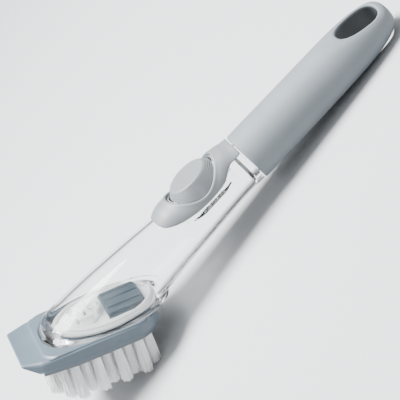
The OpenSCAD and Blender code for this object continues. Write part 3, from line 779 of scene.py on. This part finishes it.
def buildButton():
    count, top, edge, wall = 144, button["top"], button["edge"], button["wall"]
    # a shallow dish for the thumb: depth dish (1 - r^2), then the rounded edge and the flaring skirt
    rows = [buttonRing(top - button["dish"] * (1 - k * k), edge, count, k)
            for k in (0.02, 0.25, 0.5, 0.7, 0.85, 0.95)]
    rows += [buttonRing(top - edge * (1 - math.cos(v)), edge * (1 - math.sin(v)), count)
             for v in quarterTurn(9)]
    # the underside follows the tube: z = sqrt(under^2 - y^2)
    low = np.full(count, 12.0)
    for _ in range(6):
        low = np.sqrt(button["under"] ** 2 - buttonRing(low, 0, count)[:, 1] ** 2)
    start, inside = top - edge, button["inside"]
    rows += [buttonRing(start + (low - start) * w, 0, count) for w in np.linspace(0, 1, 70)[1:]]
    rows += [buttonRing(low + lift, inset, count)
             for lift, inset in ((-0.08, 0.25), (-0.02, wall - 0.25), (0.2, wall))]
    low = low + 0.2
    rows += [buttonRing(low + (inside - low) * w, wall, count) for w in (0.35, 0.7, 1.0)]
    rows += [buttonRing(inside + 0.15, wall + 1, count, k) for k in (1.0, 0.5, 0.02)]
    stem, end = button["stem"], inside - 0.4
    stemPart = tubePart(buttonRings([[inside + 0.3, 0.05], [inside + 0.3, stem], [end + 0.2, stem],
                                     [end, stem - 0.2], [end, 0.05]], 48))
    addPiece("pumpButton", [tubePart(rows), stemPart, ledgePart(-1), ledgePart(1)],
             satinPolypropylene, "button", "button")


def buildPump():
    # bellows: a wavy silicone wall on its seat, closed on top
    wave = roundedPath([[0.05, 7.8], [0.8, 7.8], [0.9, 6.6], [1.6, 6.3], [2.5, 7.2], [3.0, 7.2], [3.9, 6.0],
                        [4.2, 6.0], [4.9, 6.6], [5.8, 6.4], [6.4, 5.4], [6.4, 0.02]], 0.35)
    inside = roundedPath([[5.5, 0.02], [5.5, 4.9], [5.0, 5.5], [4.3, 4.9], [3.8, 4.9], [2.8, 6.1],
                          [1.7, 5.2], [0.6, 5.2], [0.05, 5.6]], 0.3)
    rings = buttonRings(np.concatenate([inside, wave]) + [tube["seatTop"], 0], 72)
    bellows = addPiece("pumpBellows", tubePart(rings), siliconeRubber, "wand", "pump_bellows",
                       60)
    axis = fromTube([0, 0, 1]) - fromTube([0, 0, 0])
    anchor = fromTube([tube["buttonX"], 0, tube["seatTop"]])
    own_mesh(bellows)
    # clamping ring, whose foot follows the saddle of the pocket
    loop = buttonRings(roundedPath([[2, 8.7], [2, 8.05], [11.5, 8.05], [11.5, 7.4], [12.3, 7.4],
                                    [12.3, 9.2], [2, 9.2], [2, 8.8]], 0.25), 96)
    saddle = np.sqrt(np.maximum((pocket["saddle"] + 0.1) ** 2 - loop[..., 1] ** 2, 0))
    loop[..., 2] = np.maximum(loop[..., 2], saddle)
    addPiece("pumpRing", tubePart(loop, loop=True), milkyAcetal, "wand", "pump_ring")
    seal = turnedPart([[16.6, 9.95], [16.15, 9.95], [16.15, 12.55], [17.55, 12.55], [17.55, 9.95],
                       [17.0, 9.95]], 0.2, 96, loop=True)
    addPiece("handleSeal", seal, nitrileRubber, "seal_ring", "handle_seal")


buildCover()
buildButton()
buildPump()
print("dish wand: pump cover, button and pump made")


# foot plate with its latch bay, and the valve

valve = {
    "centre": (-6, 0), "plateMid": 5.0, "plateLong": 33.7, "plateWide": 26.0,
    "plateTop": 2.6, "bore": 7.75,
    "bayFrom": 5.2, "bayTo": 27.4, "bayHalf": 13, "bayRise": 3.9, "bayPower": 2.4,
    "ribs": [25, 57, 90, 123, 155], "ribRadius": 0.8,   # places of the ribs in degrees over the arch
}


def archLine(half, rise):
    # superellipse over the plate: half cos, rise sin
    t, power = np.linspace(0, math.pi, 41), valve["bayPower"]
    b, u = half * bent(np.cos(t), power), rise * np.abs(bent(np.sin(t), power))
    return joined(b, valve["plateTop"] + u)


def archSolid(start, end, half, rise, edge, base):
    # the arch carried along the head, its two ends rounded over the radius edge
    ends = [(start + edge * (1 - math.cos(v)), edge * (1 - math.sin(v))) for v in quarterTurn(6)]
    rows = ends + [(start + end - a, inset) for a, inset in ends[::-1]]
    out = []
    for a, inset in rows:
        line = archLine(half - inset, rise - inset)
        line = np.concatenate([line, [[line[-1, 0], base], [line[0, 0], base]]])
        out.append(joined(a, *line.T))
    return footPart(out)


def valvePart(profile, rounding=0, count=96, **settings):
    # profile of [u, radius] turned about the valve's centre
    return footPart(uprightRings(roundedPath(profile, rounding), valve["centre"], count), **settings)


def platePart(inset, rows, **settings):
    # the plate's oval brought in by inset
    long, wide = valve["plateLong"] - inset, valve["plateWide"] - inset
    return gridPart(ovalRows(fromFoot, valve["plateMid"], long, long, wide, rows, 144), **settings)


def buildFootPlate():
    plate = platePart(4.5, [[-0.3, 0.2], [0, 0.5], [0, 2.2], [-0.12, 2.48], [-0.4, 2.6]])
    rim = platePart(5.3, [[-1.35, 2], [-1.35, 4.0], [-1.2, 4.2], [-0.2, 4.2], [0, 4.0], [0, 2]], loop=True)
    mesh = cutMesh("footPlate", plate, plus(rim), less(boxPart((7.4, -11, -3), (26.6, 11, 3))),
                   less(valvePart([[-1, valve["bore"]], [5, valve["bore"]]])))
    addPiece("footPlate", mesh, milkyAcetal, "wand", "foot_plate", 35)
    gasket = platePart(3.1, [[-1.25, 0.6], [-1.15, 0.5], [-0.1, 0.5], [0, 0.6], [0, 2.0], [-0.1, 2.1],
                             [-1.15, 2.1], [-1.25, 2.0]], loop=True)
    addPiece("footGasket", gasket, siliconeRubber, "wand", "foot_gasket")


def buildHousing():
    # shell over the latch: the arch, its ribs and flange, kept inside the plate's rim, hollow underneath
    half, rise, top, power = valve["bayHalf"], valve["bayRise"], valve["plateTop"], valve["bayPower"]
    start, end = valve["bayFrom"], valve["bayTo"]
    circle = valve["ribRadius"] * joined(np.cos(around(16)), np.sin(around(16)))
    places = ((start + 0.9, 0.3), (start + 1.05, 0.75), (start + 1.5, 1), (end - 1.6, 1), (end - 1.1, 0.75),
              (end - 0.9, 0.3))
    ribs = []
    for v in np.radians(valve["ribs"]):
        middle = [half * bent(math.cos(v), power), top + rise * bent(math.sin(v), power)]
        ribs.append(plus(footPart([joined(a, *(middle + circle * k).T) for a, k in places])))
    mesh = cutMesh("latchHousing", archSolid(start, end, half, rise, 1.2, top), *ribs,
                   plus(boxPart((start, -half - 0.6, top), (end, half + 0.6, top + 0.9))),
                   within(platePart(6.9, [[0, top + 0.01], [0, 12]])),
                   less(archSolid(start + 1.4, end - 1.6, half - 1.7, rise - 1.4, 0.5, top - 1)))
    addPiece("latchHousing", mesh, blueGreyAbs, "wand", "latch_housing", 35)


def boxesRound(shift, low, high):
    # six boxes turned about the valve's centre by 60 degrees each, the first by the share shift of that
    cuts = []
    for step in range(6):
        def place(p):
            x, y = turnPair(p[..., 0], p[..., 1], -60 * (step + shift))
            return fromFoot(joined(valve["centre"][0] + x, y, p[..., 2]))
        cuts.append(less(boxPart(low, high, place)))
    return cuts


def buildValve():
    cup = valvePart([
        [-5.5, 5.5], [-5.5, 6.9], [-4.8, 7.6], [-4.2, 7.6], [-4.2, 6.85], [-2.4, 6.85], [-2.4, 7.6],
        [2.7, 7.6], [2.7, 10.4], [3.8, 10.4], [3.8, 9.9], [6.6, 9.6], [6.9, 9.1], [6.9, 8.4], [3.7, 8.2],
        [3.7, 6.2], [-2, 6.2], [-2, 4.6], [-5.5, 4.6], [-5.5, 5.4]], 0.25, loop=True)
    addPiece("valveCup", cutMesh("valveCup", cup, *boxesRound(0, (7.3, -1.5, 4.1), (10.3, 1.5, 7.1))),
             milkyAcetal, "wand", "valve_cup")
    # clip: a ring under a low dome with six slots, which lets the soap reach the slit valve
    dome = valvePart([
        [5.9, 0.02], [5.7, 2.4], [5.2, 4.2], [4.6, 4.8], [-0.6, 4.8], [-0.6, 6.15], [3.7, 6.15], [3.7, 8.1],
        [4.7, 8.1], [4.7, 7.3], [5.3, 6.7], [6.1, 5.0], [6.7, 2.6], [6.9, 0.02]], 0.3)
    addPiece("valveClip", cutMesh("valveClip", dome, *boxesRound(0.5, (2.7, -0.7, 4.9), (5.8, 0.7, 8.5))),
             milkyAcetal, "wand", "valve_clip")
    # valve: a thin dome that hangs down, cut crosswise
    lip = valvePart([
        [-4.3, 0.02], [-3.6, 3.2], [-2.2, 4.2], [-0.6, 4.6], [-0.6, 6.1], [-2, 6.1], [-2, 4.4], [-3.2, 4.4],
        [-4.4, 3.6], [-5.1, 0.02]], 0.25)
    mesh = cutMesh("outletValve", lip, less(boxPart((-8, -0.06, -6.2), (-4, 0.06, -3.2))),
                   less(boxPart((-6.06, -2, -6.2), (-5.94, 2, -3.2))))
    addPiece("outletValve", mesh, siliconeRubber, "wand", "outlet_valve")
    # O-ring of the spigot: a cord 1.5 mm thick, pressed flat by its groove
    t = around(20)
    cord = valvePart(joined(-3.3 + 0.75 * np.sin(t), np.maximum(7.1 + 0.75 * np.cos(t), 6.87)), loop=True)
    addPiece("spigotSeal", cord, nitrileRubber, "wand", "spigot_seal", 60)


def buildLatch():
    pin = footPart(pinRings([[-10.8, 0.6], [-10.6, 0.84], [-10.4, 0.9], [10.4, 0.9], [10.6, 0.84],
                             [10.8, 0.6]], 40))
    addPiece("latchPin", pin, stainlessWire, "wand", "latch_pin")
    barrel = footPart(pinRings([[-9, 1.25], [-8.9, 1.42], [-8.7, 1.5], [8.7, 1.5], [8.9, 1.42], [9, 1.25],
                                [9, 0.96], [-9, 0.96]], 40), loop=True)
    blade = roundedPath([[34, -2.9], [35.3, -2.6], [35.8, -4.5], [35.9, -7.2], [35.2, -8.1], [34, -8.2],
                         [33.1, -7.2], [32.9, -4.5], [32.8, -2.7], [33.9, -2.9]], 0.4)
    nose = roundedPath([[33.4, -4.1], [30.4, -4.25], [30.6, -5.2], [31.0, -5.6], [33.4, -6.2], [33.5, -5.0],
                        [33.4, -4.2]], 0.3)
    parts = [barrel, barAcross(blade, roundedEnds(-9, 9, 0.5, 5)),
             barAcross(nose, roundedEnds(-5.3, 5.3, 0.4, 2.4))]
    addPiece("releaseTab", parts, tabAcetal, "latch", "release_tab")


buildFootPlate()
buildHousing()
buildValve()
buildLatch()
print("dish wand: foot plate, valve and latch made")


# brush head: plan outlines stretched round circles [a, b, radius], a along the head and b across it

head = {
    "low": -7.0, "top": -0.3, "edge": 0.9, "blockLow": -11.0,
    "wall": [(15, 11.5, 16.5), (-18, 11.5, 16.5), (-37, 16, 9)],
    "scraper": [(-47.2, 19.2, 2.0), (-36, 17, 9)],
    "step": [(15, 11.5, 16.1), (-26.5, 17, 9.6)],
    "bladeSlope": 34.0, "bladeEdge": (-49.2, -1.5), "edgeFront": 1.7,
    "dish": 0.45, "dishPlace": -42.9, "dishSize": (6.0, 21.0), "wallThick": 2.4, "hollowTop": -3.7,
    "nubAlong": 4.6, "nubSize": (3.1, 0.75, 2.3), "nubPlace": 27.75,
}


def bladeCut():
    # everything under the plane that runs down and back from the scraper's edge
    along, up = (np.array(turnPair(*way, head["bladeSlope"])) for way in ((1, 0), (0, 1)))
    corners = ((-5, 0), (35, 0), (35, -20), (-5, -20))
    return barAcross([head["bladeEdge"] + along * i + up * j for i, j in corners], [[-40, 1], [40, 1]])


def nubPart(side):
    # a half ball on the side wall, sunk into its lower rim; its poles are closed by small caps
    p, q = np.meshgrid(np.linspace(0, math.pi, 13), around(28), indexing="ij")
    a, low, (long, out, up) = head["nubAlong"], head["low"], head["nubSize"]
    ball = joined(a + long * np.sin(p) * np.cos(q), side * (head["nubPlace"] + out * np.cos(p)),
                     np.maximum(low + 0.02, low + up * np.sin(p) * np.sin(q)))
    for k in (0, -1):
        ball[k, :, 0], ball[k, :, 2] = a + 0.02 * np.cos(q[0]), low + 0.5 + 0.02 * np.sin(q[0])
    return footPart(ball)


def dishPart():
    # shallow dish in the scraper's top: depth dish (1 - r^2) inside a squarish oval, straight up from there
    long, wide = head["dishSize"]
    dish = ovalRows(np.asarray, 0, long, long, wide, [[0, 0], [0, 6]], 96, 3.0)
    rho = np.append(np.linspace(0.02, 1.0, 12), 1.1)[:, None, None]
    bowl = dish[:1] * [1, 1, 0] * rho
    bowl[..., 2:] = head["top"] - head["dish"] * (1 - rho**2)
    return footPart(np.concatenate([bowl, dish[1:] * [1.1, 1.1, 1]]) + [head["dishPlace"], 0, 0])


def buildHead():
    whole = hullOutline(head["wall"] + head["scraper"], 176)
    top, low = head["top"], head["low"]
    # the top edge is rounded more widely towards the scraper, and less again at its blade
    a = whole[0][:, 0]
    edge = head["edge"] + head["edgeFront"] * smoothStep(-18, -34, a) * smoothStep(-49.2, -45.5, a)
    # side wall from below: a thin rim that stands 0.2 mm proud, the wall, and the rounded top edge
    side = [(-0.6, low), (-0.1, low + 0.04), (0.16, low + 0.2), (0.2, low + 0.4), (0.14, low + 0.62),
            (0, low + 0.78), (0, low + 2), (0, -3)]
    side += [(-edge * (1 - math.cos(v)), top - edge * (1 - math.sin(v))) for v in quarterTurn(9)]
    # raised step round the foot: a concave fillet in front, 0.75 (1 - s)^2.2 high, then a rounded shoulder
    step = hullOutline(head["step"], 176)
    front = 1.8 * smoothStep(-20, -33, step[0][:, 0])
    rows = [(front, -1.4)] + [(s * front, top - 0.04 + 0.75 * (1 - s) ** 2.2) for s in np.linspace(1, 0, 9)]
    rows += [(-0.15, 0.53), (-0.35, 0.62), (-0.7, 0.68), (-1.1, 0.7)]
    opening = ovalRows(fromFoot, 3.5, 36.9, 36.9, 26.4, [[0, -3], [0, 0.4], [0.08, 0.58], [0.4, 0.8]],
                       160, 2.6)
    ring = cutMesh("step", planPart(step, rows), within(planPart(whole, [(-0.5, -2), (-0.5, 2)])),
                   within(boxPart((-60, -40, -3), (22, 40, 3))), less(gridPart(opening)))
    thick = head["wallThick"]
    inner = planPart(hullOutline(head["wall"], 96), [(-thick, low - 1), (-thick, head["hollowTop"])])
    hollow = cutMesh("hollow", inner, within(boxPart((-39.4, -40, -20), (60, 40, 0))))
    # socket of the spigot, its bore, the outlet below it, and the notch of the latch nose
    socket, outlet = valvePart([[low, 9.5], [-2.5, 9.5]]), valvePart([[-12, 3], [-2, 3]], 0, 48)
    bore = valvePart([[-6.1, 7.95], [-0.9, 7.95], [-0.2, 8.5], [3, 8.5]])
    notch = gridPart(ovalRows(fromFoot, 34.4, 5, 5, 6, [[0, -6.6], [0, 3]], 64, 6))
    mesh = cutMesh("brushBody", planPart(whole, side), less(bladeCut()), less(dishPart()), plus(ring),
                   less(hollow), plus(socket), less(notch), less(bore), less(outlet), plus(nubPart(-1)),
                   plus(nubPart(1)))
    addPiece("brushBody", mesh, blueGreyAbs, "head", "brush_body", 32)


# tufts: the first column at a, the columns' pitch, the step across, the holes and the block's inset

tuft = {"first": -35.2, "pitch": 6.3, "across": 8.2, "hole": 2.15, "holeDeep": 3.4, "inset": 2.6}


def tuftPlaces():
    # ten columns, every other one set half a step across, clear of the outlet and the corners
    i, j = (v.ravel() for v in np.meshgrid(np.arange(10), np.arange(6), indexing="ij"))
    a = tuft["first"] + tuft["pitch"] * i
    b = (j - (5 - i % 2) / 2) * tuft["across"]
    clear = np.hypot(a - valve["centre"][0], b) > 5.5
    keep = (j <= 5 - i % 2) & clear & ((a > -34) | (np.abs(b) < 17)) & ((a < 20) | (np.abs(b) < 19))
    return joined(a, b)[keep]


def buildTuftBlock():
    low, inset, hole = head["blockLow"], tuft["inset"], tuft["hole"]
    rows = [(-inset - 0.6, low), (-inset - 0.2, low + 0.12), (-inset, low + 0.5), (-inset, -3.9)]
    holes = [footPart(uprightRings([[low - 1, hole], [low + tuft["holeDeep"], hole]], place, 18))
             for place in tuftPlaces()]
    mesh = cutMesh("tuftBlock", planPart(hullOutline(head["wall"], 160), rows),
                   within(boxPart((-39.2, -40, -20), (60, 40, 0))), less(*holes),
                   less(valvePart([[-7.2, 9.7], [0, 9.7]], 0, 72)),
                   less(valvePart([[-20, 2.6], [0, 2.6]], 0, 48)))
    # the block in the darkened blue grey: painted shade under the head's side wall
    addPiece("tuftBlock", mesh, shadedTuftBlockAbs, "head", "tuft_block", 35)


# bristles: each tuft holds a bundle of nylon filaments, folded over an anchor, splayed a little and trimmed

bristle = {
    "perTuft": 76, "radius": 0.27, "root": -8.0, "length": 21.5, "uneven": 0.35,
    "rootSpread": 2.15, "tipSpread": (3.3, 4.15),
    "tipWander": 0.16, "tuftLean": 0.12, "bend": 0.14,   # spread of the random part, in mm
    "trim": [[-36, 5.5], [-30, 1.8], [-24, 0.2], [-10, 0], [12, 0], [18, 0.5], [23, 2]],
}


def buildBristles():
    rng = np.random.default_rng(7)
    places = tuftPlaces()
    n, m = len(places), bristle["perTuft"]
    # golden-angle bundle: radius sqrt((k + 0.5) / m), angle 2.39996 k, turned differently in each tuft
    k = np.arange(m)[None, :]
    turn = 2.39996 * k + rng.uniform(0, 2 * math.pi, (n, 1))
    reach = np.sqrt((k + 0.5) / m) * rng.uniform(0.93, 1.07, (n, m))
    root = joined(reach * np.cos(turn), reach * np.sin(turn))
    tip = root * bristle["tipSpread"] + rng.normal(0, bristle["tipWander"], (n, m, 2))
    tip = tip + rng.normal(0, bristle["tuftLean"], (n, 1, 2))
    root = root * bristle["rootSpread"]
    bend = rng.normal(0, bristle["bend"], (n, m, 2))
    # the filament at t: root (1 - t^1.3) + tip t^1.3 + bend sin(pi t), from the hole to the trimmed end
    t = np.array([0, 0.22, 0.45, 0.72, 1.0])
    w, wave = (t**1.3)[:, None], np.sin(math.pi * t)[:, None]
    side = root[:, :, None] * (1 - w) + tip[:, :, None] * w + bend[:, :, None] * wave
    side = side + places[:, None, None, :]
    end = head["blockLow"] - bristle["length"] + curveThrough(bristle["trim"], side[:, :, -1, 0])
    end = end + rng.uniform(-1, 1, (n, m)) * bristle["uneven"] * rng.uniform(0.3, 1, (n, 1))
    # no tip reaches under the table: z at the tip is linear in u
    zero = fromFoot(np.concatenate([side[:, :, -1], np.zeros((n, m, 1))], -1))[..., 2]
    rise = fromFoot([0, 0, 1])[2] - fromFoot([0, 0, 0])[2]
    end = np.maximum(end, (0.00002 - zero) / rise)
    u = bristle["root"] + (end - bristle["root"])[:, :, None] * t
    centre = np.concatenate([side, u[..., None]], -1)
    spin = rng.uniform(0, 2 * math.pi, (n, m, 1)) + around(3)
    offset = joined(np.cos(spin), np.sin(spin), 0) * bristle["radius"]
    points = fromFoot(centre[:, :, :, None, :] + offset[:, :, None, :, :])
    points[..., 2] = np.maximum(points[..., 2], 0.00001)
    # three sides along each strand, and a triangle on its tip
    base = (np.arange(n * m) * len(t) * 3)[:, None, None]
    j, i = (np.arange(len(t) - 1) * 3)[None, :, None], np.arange(3)
    i2 = (i + 1) % 3
    quads = joined(base + j + i, base + j + 3 + i, base + j + 3 + i2, base + j + i2).reshape(-1, 4)
    tips = (base[:, 0] + (len(t) - 1) * 3) + np.array([0, 2, 1])
    mesh = makeMesh("bristles", (points.reshape(-1, 3), quads.tolist() + tips.tolist()))
    # UV: x is one random number for each strand, y runs along it
    across = np.repeat(rng.uniform(0, 1, n * m), len(t) * 3)
    along = np.tile(np.repeat(t, 3), n * m)
    loops = np.zeros(len(mesh.loops), int)
    mesh.loops.foreach_get("vertex_index", loops)
    uv = joined(across[loops], along[loops]).ravel()
    mesh.uv_layers.new(name="strand").data.foreach_set("uv", uv)
    addPiece("nylonBristles", mesh, nylonFilament, "head", "bristles", 180)


buildHead()
buildTuftBlock()
buildBristles()
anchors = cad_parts["tuft_anchors"].data.materials
anchors.clear()
anchors.append(brassWire)
print("dish wand: head and bristles made")


# camera at the photograph's viewing angle, from the fit of the outlines: place and axes on the tube, in mm

camera = {"place": (-12.907, -668.572, 360.190),
          "right": (0.68857, -0.32477, -0.64838), "down": (-0.72462, -0.34295, -0.59775),
          "view": (-0.02823, 0.88143, -0.47148), "lens": 123.40116, "sensor": 36.0}


def addCamera():
    zero = fromTube([0, 0, 0])
    right, down, view = (Vector((fromTube(camera[k]) - zero) * 1000) for k in ("right", "down", "view"))
    item = addObject("camera", bpy.data.cameras.new("camera"))
    item.data.sensor_width, item.data.lens, item.data.clip_start = camera["sensor"], camera["lens"], 0.01
    item.matrix_world = Matrix((right, -down, -view)).transposed().to_4x4()
    item.matrix_world.translation = Vector(fromTube(camera["place"]))
    bpy.context.scene.camera = item


# studio, in metres: a pale floor, an even sky that is bright overhead, and one large soft box

studio = {"floorHalf": 3.0, "flat": 1.2, "curve": 0.25, "drop": 0.0002, "floorColour": "A2A4A6",
          "skyColour": "FAFCFF", "horizon": 0.045, "zenith": 2.3,
          "keyPlace": (-0.15, 0.1, 1.1), "keyTarget": (0, 0, 0.02), "keySize": 0.6, "keyPower": 95.0}


def addFloor():
    # flat and drop under z = 0, rising by curve r^2 beyond flat so that no horizon shows
    x = np.linspace(-studio["floorHalf"], studio["floorHalf"], 60)
    x, y = np.meshgrid(x, x)
    far = np.maximum(np.hypot(x, y) - studio["flat"], 0)
    z = far**2 * studio["curve"] - studio["drop"]
    mesh = makeMesh("floor", gridPart(joined(x, y, z), wrap=False))
    mesh.materials.append(setShader(newMaterial("paleFloor")[0], {
        "Base Color": toLinear(studio["floorColour"]), "Roughness": 0.9}))
    mesh.polygons.foreach_set("use_smooth", [True] * len(mesh.polygons))
    addObject("floor", mesh)


def addLights():
    world = bpy.data.worlds.new("studio")
    bpy.context.scene.world = world
    world.use_nodes = True
    tree = world.node_tree
    place = addNode(tree, "ShaderNodeTexCoord", "Generated", {})
    height = addNode(tree, "ShaderNodeSeparateXYZ", "Z", {"Vector": place})
    level = mapped(tree, height, studio["horizon"], studio["zenith"], 0.3, interpolation_type="SMOOTHSTEP")
    tree.nodes["Background"].inputs["Color"].default_value = toLinear(studio["skyColour"])
    tree.links.new(level, tree.nodes["Background"].inputs["Strength"])
    key = addObject("key", bpy.data.lights.new("key", "AREA"))
    key.data.shape, key.data.size, key.data.energy = "DISK", studio["keySize"], studio["keyPower"]
    place = Vector(studio["keyPlace"])
    turn = (place - Vector(studio["keyTarget"])).to_track_quat("Z", "Y")
    key.matrix_world = Matrix.Translation(place) @ turn.to_matrix().to_4x4()


addCamera()
addFloor()
addLights()
print("dish wand: camera, floor and lights set")
